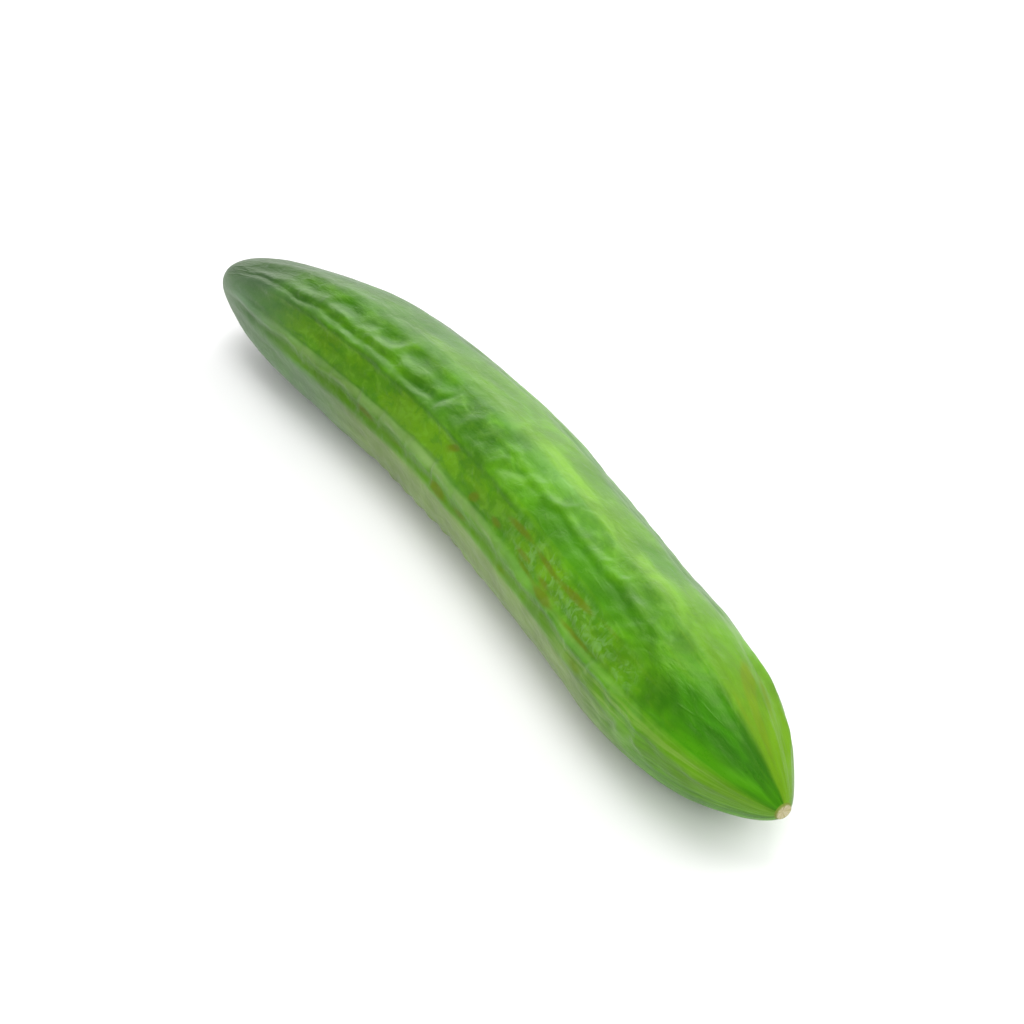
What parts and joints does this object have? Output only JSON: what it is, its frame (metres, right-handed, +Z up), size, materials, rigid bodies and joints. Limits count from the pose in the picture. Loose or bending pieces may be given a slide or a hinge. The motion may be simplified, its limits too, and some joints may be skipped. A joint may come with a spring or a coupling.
{
  "type": "whole cucumber",
  "caption": "Whole slicing cucumber, gently bent, lying on its belly, with lengthwise ribs, puckered blistered skin, a rounded blossom end and a cut stem scar at the tapered end.",
  "frame": {"origin": "centre of the bounding box in plan, at the bottom, on the surface that the cucumber rests on", "axes": "+X from the blossom end to the stem end, +Y the side that the bend bulges toward, +Z up"},
  "size_m": [0.3, 0.0612, 0.0485],
  "materials": {
    "cucumber_skin": "waxy green rind, semi-gloss, mid green with paler ridges and olive hollows"
  },
  "bodies": {
    "root": {"cucumber": "cucumber_skin"}
  },
  "joints": []
}
